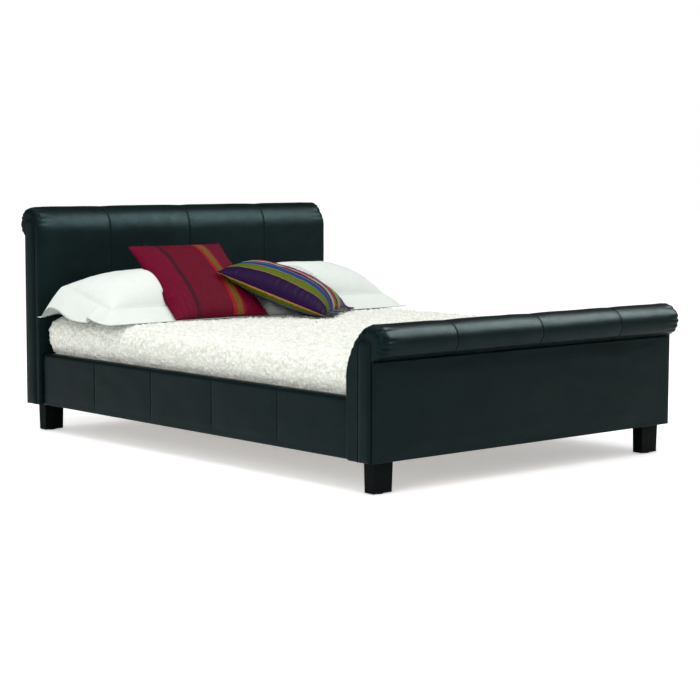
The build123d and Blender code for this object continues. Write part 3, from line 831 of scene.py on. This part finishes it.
# Curls about 13 mm across, each a coil of pile with a pit beside it, darkened there as painted
# shade
curls = add_node(
    curly_fleece,
    "ShaderNodeTexVoronoi",
    {"Vector": bent.outputs[1], "Scale": 76.0, "Smoothness": 0.3},
    feature="SMOOTH_F1",
)
strands = add_node(
    curly_fleece,
    "ShaderNodeTexNoise",
    {"Vector": bent.outputs[1], "Scale": 320.0, "Detail": 4.0, "Roughness": 0.7},
)
pit = add_node(
    curly_fleece, "ShaderNodeMapRange", {0: curls.outputs[0], 1: 0.30, 2: 0.70, 3: 0.0, 4: 1.0}
)
curl_shade = mix_colours(curly_fleece, pit.outputs[0], linear("#fafcf5"), linear("#dfe2d4"))
raised = add_node(
    curly_fleece, "ShaderNodeMath", {0: 1.0, 1: curls.outputs[0]}, operation="SUBTRACT"
)
coils = (raised.outputs[0], 0.8, 0.006)
fuzz = (strands.outputs[0], 0.6, 0.004)
add_relief(curly_fleece, shader, coils, fuzz)
connect(
    curly_fleece,
    shader,
    {
        "Base Color": curl_shade,
        "Roughness": 0.95,
        "Specular IOR Level": 0.1,
        "Sheen Weight": 0.35,
        "Sheen Roughness": 0.6,
    },
)
bedspread.data.materials.append(curly_fleece)
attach(bedspread, "mattress")
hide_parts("bedspread")


# Scatter cushions: two squares of dressmaking fabric sewn together and turned, over a feather pad.
# The sides pull in between the corners, the corners stay flat and pointed, and the seams pucker.
class Lean:
    """Where a cushion leans: its middle, its two directions and the way it faces."""

    def __init__(self, middle, turn, tilt):
        level = Vector((-sin(radians(turn)), cos(radians(turn)), 0))
        self.middle = Vector(middle)
        self.across = Vector((cos(radians(turn)), sin(radians(turn)), 0))
        self.uphill = level * cos(radians(tilt)) + Vector((0, 0, sin(radians(tilt))))
        self.facing = self.across.cross(self.uphill)

    def place(self, x, y, out):
        """Points given across, uphill and outwards, as places in the room."""
        return (
            np.array(self.middle)
            + np.multiply.outer(x, np.array(self.across))
            + np.multiply.outer(y, np.array(self.uphill))
            + np.multiply.outer(out, np.array(self.facing))
        )


def sewn_cover(name, top, bottom, top_map, bottom_map, material):
    """Two sheets sewn together round their edge, each with the flat cloth as its UV map."""
    halves = []
    for sheet, flat_map in ((top, top_map), (bottom, bottom_map)):
        rows, columns = sheet.shape[:2]
        bpy.ops.object.select_all(action="DESELECT")
        bpy.ops.mesh.primitive_grid_add(x_subdivisions=rows - 1, y_subdivisions=columns - 1, size=1)
        half = bpy.context.active_object
        flat = vertex_places(half)
        row = np.rint((flat[:, 0] + 0.5) * (rows - 1)).astype(int)
        column = np.rint((flat[:, 1] + 0.5) * (columns - 1)).astype(int)
        put_vertices(half, sheet[row, column])
        corners = np.zeros(len(half.data.loops), int)
        half.data.loops.foreach_get("vertex_index", corners)
        half.data.uv_layers[0].data.foreach_set("uv", flat_map[row, column][corners].ravel())
        halves.append(half)
    bpy.ops.object.select_all(action="DESELECT")
    halves[0].select_set(True)
    halves[1].select_set(True)
    bpy.context.view_layer.objects.active = halves[0]
    bpy.ops.object.join()
    cover = bpy.context.active_object
    cover.name = cover.data.name = name
    bpy.ops.object.mode_set(mode="EDIT")
    bpy.ops.mesh.select_all(action="SELECT")
    bpy.ops.mesh.remove_doubles(threshold=0.00005)
    bpy.ops.mesh.select_all(action="SELECT")
    bpy.ops.mesh.normals_make_consistent(inside=False)
    bpy.ops.object.mode_set(mode="OBJECT")
    bpy.ops.object.shade_smooth()
    cover.data.materials.append(material)
    return cover


side_pull = 0.055


def feather_cushion(name, lean, size, crown, belly, seed, material):
    """A square knife-edge cushion, fullest just below its middle."""
    # Shares from -1 to 1 across the cushion, closer together towards the seams
    even = np.linspace(-1, 1, 121)
    steps = 0.55 * np.sin(even * pi / 2) + 0.45 * even
    u, v = np.meshgrid(steps, steps, indexing="ij")
    half = size / 2
    x = half * u * (1 - side_pull * (1 - v**2) * u**2)
    y = half * v * (1 - side_pull * (1 - u**2) * v**2)
    full = ((1 - np.abs(u) ** 2.3) * (1 - np.abs(v + 0.06 * (1 - v**2)) ** 2.3)).clip(0) ** 0.54
    ripple_u = np.array([noise.noise(Vector((s * 17, seed, 0))) for s in steps])
    ripple_v = np.array([noise.noise(Vector((s * 17, seed + 9, 0))) for s in steps])
    from_side, from_end = 1 - np.abs(u), 1 - np.abs(v)
    edge = np.minimum(from_side, from_end)
    near_side = np.exp(-from_side / 0.16) * (1 - np.exp(-from_side / 0.02))
    near_end = np.exp(-from_end / 0.16) * (1 - np.exp(-from_end / 0.02))
    pucker = 0.011 * (near_side * ripple_v[None, :] + near_end * ripple_u[:, None])
    dents = np.zeros_like(u)
    for (i, j), _ in np.ndenumerate(u):
        spot = Vector((x[i, j] * 9, y[i, j] * 9, seed * 3.3))
        dents[i, j] = noise.noise(spot) + 0.4 * noise.noise(spot * 2.7)
    dents *= 0.0045 * np.clip(edge * 4, 0, 1)
    front = crown * full + pucker * 0.8 + dents
    back = belly * full + pucker[::-1] * 0.5
    cloth = 0.0012
    rim = cloth * (edge > 0)
    top = lean.place(x, y, np.maximum(front, 0) + rim)
    bottom = lean.place(x, y, -np.maximum(back, 0) - rim)
    flat = np.stack([half * u + half, half * v + half], -1)
    under = flat * (-1, 1)
    return sewn_cover(name, top, bottom, flat, under, material)


def striped_cloth(name, start, stop, stripes, line, line_width, crinkle, across, roughness):
    """Yarn-dyed cloth: stripes by their far edges across the UV map, parted by a thin line."""
    material, shader = new_material(name)
    flat = add_node(material, "ShaderNodeUVMap").outputs[0]
    axes = add_node(material, "ShaderNodeSeparateXYZ", {0: flat})
    share = add_node(
        material, "ShaderNodeMapRange", {0: axes.outputs[0], 1: start, 2: stop, 3: 0.0, 4: 1.0}
    )
    ramp = add_node(material, "ShaderNodeValToRGB", {0: share.outputs[0]})
    ramp.color_ramp.interpolation = "CONSTANT"
    stops = []
    edge = start
    for far_edge, colour in stripes:
        stops.append((edge, colour))
        if line and far_edge < stop:
            stops.append((far_edge - line_width, line))
        edge = far_edge
    elements = ramp.color_ramp.elements
    while len(elements) < len(stops):
        elements.new(0.5)
    for element, (place, colour) in zip(elements, stops):
        element.position = (place - start) / (stop - start)
        element.color = linear(colour)
    threads = add_node(material, "ShaderNodeMapping", {"Vector": flat, "Scale": across})
    crinkled = add_node(
        material,
        "ShaderNodeTexNoise",
        {
            "Vector": threads.outputs[0],
            "Scale": 1.0,
            "Detail": 4.0,
            "Roughness": 0.6,
            "Distortion": 0.5,
        },
    )
    slub = add_node(
        material, "ShaderNodeMapRange", {0: crinkled.outputs[0], 1: 0.4, 2: 0.75, 3: 0.0, 4: 0.28}
    )
    shade = mix_colours(material, slub.outputs[0], ramp.outputs[0], linear("#12060c"))
    add_relief(material, shader, (crinkled.outputs[0], crinkle, 0.003))
    inputs = {"Base Color": shade, "Roughness": roughness, "Specular IOR Level": 0.05}
    connect(material, shader, inputs)
    return material


striped_size = 0.515
striped_lean = Lean((0.128, 0.508, 0.610), 38, 21)
stripes = (
    (-0.215, "#7d1040"),
    (-0.170, "#3f9c93"),
    (-0.130, "#2b0f3d"),
    (-0.082, "#12396c"),
    (-0.038, "#0f3c7a"),
    (-0.002, "#4f5f12"),
    (0.072, "#220a36"),
    (0.136, "#556616"),
    (0.184, "#0c3f7c"),
    (0.226, "#4f0f50"),
    (0.262, "#3cbca6"),
    (0.304, "#b40f50"),
    (0.334, "#2a0c40"),
    (0.388, "#87942a"),
    (0.434, "#1d5c9e"),
    (striped_size, "#60145f"),
)
taffeta = striped_cloth(
    "striped_silk_taffeta",
    start=-0.30,
    stop=striped_size,
    stripes=stripes,
    line="#a5713a",
    line_width=0.005,
    crinkle=0.35,
    across=(60, 260, 1),
    roughness=0.50,
)
striped = feather_cushion(
    "striped_cushion",
    striped_lean,
    striped_size,
    crown=0.098,
    belly=0.062,
    seed=3.0,
    material=taffeta,
)
red_size = 0.48
red_lean = Lean((-0.258, 0.629, 0.659), -3, 38)
crepon = striped_cloth(
    "crimson_cotton_crepon",
    start=0.0,
    stop=red_size,
    stripes=(
        (0.112, "#640626"),
        (0.132, "#400d20"),
        (0.302, "#5f0620"),
        (0.320, "#8c1a1a"),
        (0.356, "#6b4a22"),
        (0.366, "#7c101c"),
        (red_size, "#640626"),
    ),
    line=None,
    line_width=0.0,
    crinkle=0.7,
    across=(90, 30, 1),
    roughness=0.72,
)
red = feather_cushion(
    "red_cushion", red_lean, red_size, crown=0.062, belly=0.055, seed=11.0, material=crepon
)


def press_down(soft, upper, facing, gap):
    """Presses a soft piece clear of the one that leans on it, along the way that one faces."""
    graph = bpy.context.evaluated_depsgraph_get()
    tree = BVHTree.FromObject(upper, graph)
    places = vertex_places(soft)
    far_below = facing * 0.6
    for index, place in enumerate(places):
        hit = tree.ray_cast(Vector(place) - far_below, facing)[0]
        if hit is None:
            continue
        clear = (hit - Vector(place)).dot(facing) - gap
        if clear < 0:
            places[index] = Vector(place) + facing * clear
    put_vertices(soft, places)


press_down(red, striped, striped_lean.facing, 0.002)
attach(red, "cushion_red")
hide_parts("cushion_red")
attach(striped, "cushion_striped")
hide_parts("cushion_striped")

# Fringe: tassels of embroidery yarn in the stripes' colours, each bound at its neck and caught
# in the seam along one side of the striped cushion.
face_stripes = stripes[5:]
yarns = {}
for _, colour in face_stripes:
    if colour in yarns:
        continue
    yarn, shader = new_material(f"embroidery_yarn_{len(yarns)}")
    place = add_node(yarn, "ShaderNodeTexCoord").outputs["Object"]
    ply = add_node(yarn, "ShaderNodeTexNoise", {"Vector": place, "Scale": 700.0, "Detail": 2.0})
    # The yarn is darkened towards near-black where the ply relief is low: painted shade between the
    # plies
    shade = mix_colours(yarn, ply.outputs[0], linear("#0c070d"), linear(colour))
    add_relief(yarn, shader, (ply.outputs[0], 0.5, 0.0008))
    connect(yarn, shader, {"Base Color": shade, "Roughness": 0.6, "Sheen Weight": 0.1})
    yarns[colour] = yarn
tassels = []
draw = np.random.default_rng(7)
half = striped_size / 2
strand_sides = 6
around = np.linspace(0, 2 * pi, strand_sides, endpoint=False)
for number, x in enumerate(np.linspace(-0.238, 0.238, 22)):
    colour = next(c for far_edge, c in face_stripes if x + half <= far_edge)
    sideways, curl = draw.normal(0, 0.35), draw.uniform(0.002, 0.018)
    # The seam pulls in between the corners, and each tassel starts 3 mm inside it
    edge = half * (1 - side_pull * (1 - (x / half) ** 2)) - 0.003
    for strand in range(10):
        splay = sideways + draw.normal(0, 0.22)
        wander = draw.normal(0, 0.0018)
        length = 0.037 + draw.normal(0, 0.003)
        rings = []
        for share in np.linspace(0, 1, 7):
            side = x + 0.6 * wander + splay * length * share**1.4
            out = wander + curl * share**2 - 0.006 * share
            radius = 0.0015 * (1.5 if share < 0.25 else 1.0) * (0.6 if share == 1 else 1)
            circle_x = side + radius * np.cos(around)
            circle_out = out + radius * np.sin(around)
            reach = np.full(strand_sides, -edge - length * share)
            rings.append(striped_lean.place(circle_x, reach, circle_out))
        tassels.append(upholstery(f"tassel_strand_{number}_{strand}", rings, yarns[colour]))
bpy.ops.object.select_all(action="DESELECT")
for strand in tassels:
    strand.select_set(True)
bpy.context.view_layer.objects.active = tassels[0]
bpy.ops.object.join()
fringe = bpy.context.active_object
fringe.name = fringe.data.name = "tassel_fringe"
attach(fringe, "cushion_striped")
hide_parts("cushion_fringe")


# Pillows: feather pillows in white cotton Oxford cases. The case has a flat double flange all
# round, sewn down along a line of stitching, and it droops where nothing holds it up.
percale = woven_cloth(
    "white_cotton_percale",
    "#ced5d0",
    "#dbe1dc",
    thread=0.0016,
    relief=0.10,
    creases=0.30,
    roughness=0.8,
    sheen=0.1,
)


def oxford_pillow(name, side):
    """A plump pillow: side is -1 for the left one, whose outer end hangs past the mattress."""
    low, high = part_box(f"pillow_{'left' if side < 0 else 'right'}")
    middle_x, middle_y = (low.x + high.x) / 2, (low.y + high.y) / 2
    half_x, half_y = (high.x - low.x) / 2, (high.y - low.y) / 2
    flange, front_flange = 0.072, 0.094
    bag_x, bag_y = half_x - flange, half_y - front_flange

    def spread(half, bag):
        """Places from one edge to the other, close together towards and at the stitching."""
        even = np.linspace(-1, 1, 90)
        inside = bag * (0.6 * np.sin(even * pi / 2) + 0.4 * even)
        rim = np.linspace(bag, half, 14)[1:]
        stitches = np.array([bag - 0.0025, bag + 0.0025])
        return np.unique(np.round(np.concatenate([inside, stitches, rim, -rim, -stitches]), 6))

    xs, ys = spread(half_x, bag_x), spread(half_y, bag_y)
    x, y = np.meshgrid(xs, ys, indexing="ij")
    u, v = np.clip(np.abs(x) / bag_x, 0, 1), np.clip(np.abs(y) / bag_y, 0, 1)
    full = ((1 - u**2.7) * (1 - v**2.3)).clip(0) ** 0.55
    past_x, past_y = np.abs(x) - bag_x, np.abs(y) - bag_y
    beyond = np.hypot(np.maximum(past_x, 0), np.maximum(past_y, 0)) / flange
    outside = soft_step(side * x / half_x, -0.2, 0.9)
    seam_z = low.z + 0.058 + (0.026 + 0.052 * outside) * soft_step(y / half_y, -0.75, 0.75)
    wave = np.zeros_like(x)
    dent = np.zeros_like(x)
    for (i, j), _ in np.ndenumerate(x):
        wave[i, j] = noise.noise(Vector((x[i, j] * 9, y[i, j] * 9, 4 + side)))
        spot = Vector((x[i, j] * 5, y[i, j] * 6, 2 * side))
        dent[i, j] = noise.noise(spot) + 0.35 * noise.noise(spot * 3.1)
    droop = (0.052 + 0.045 * outside * (y > -0.1)) * np.clip(beyond, 0, 1.35) ** 1.2
    rest = low.z + 0.0015
    flange_z = np.maximum(seam_z - droop + 0.012 * wave * np.clip(beyond, 0, 1), rest)
    ridge = 1 + 0.10 * y / half_y
    crown = (high.z - seam_z) * 1.02
    near_seam = np.exp(-np.minimum(-past_x, -past_y).clip(0) / 0.05) * (full > 0)
    along = np.where(past_x > past_y, y, x)
    pucker_width = 0.055
    pucker = np.sin(along * 2 * pi / pucker_width + 3 * wave) * 0.0035 * near_seam * full
    top = np.where(
        beyond > 0,
        flange_z + 0.0016,
        seam_z + 0.0016 + crown * full * ridge + 0.006 * dent * full + pucker,
    )
    bottom = np.where(beyond > 0, flange_z - 0.0016, np.maximum(seam_z - 0.16 * full**0.8, rest))
    stitched = (np.abs(past_x) < 0.0012) & (past_y < 0.002)
    stitched |= (np.abs(past_y) < 0.0012) & (past_x < 0.002)
    top = np.where(stitched, top - 0.0018, top)
    top, bottom = np.maximum(top, rest + 0.0005), np.minimum(bottom, top - 0.0005)
    edge = (np.abs(x) > half_x - 1e-6) | (np.abs(y) > half_y - 1e-6)
    bottom = np.where(edge, top, bottom)
    wobble = 0.006 * np.clip(beyond, 0, 1)
    place_x, place_y = middle_x + x - wobble * wave * np.sign(x), middle_y + y
    flat = np.stack([x + half_x, y + half_y], -1)
    return sewn_cover(
        name,
        np.stack([place_x, place_y, top], -1),
        np.stack([place_x, place_y, bottom], -1),
        flat,
        flat * (-1, 1),
        percale,
    )


for side, hand in ((-1, "left"), (1, "right")):
    pillow = oxford_pillow(f"oxford_pillow_{hand}", side)
    press_down(pillow, red, red_lean.facing, 0.002)
    press_down(pillow, striped, striped_lean.facing, 0.002)
    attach(pillow, f"pillow_{hand}")
    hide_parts(f"pillow_{hand}")
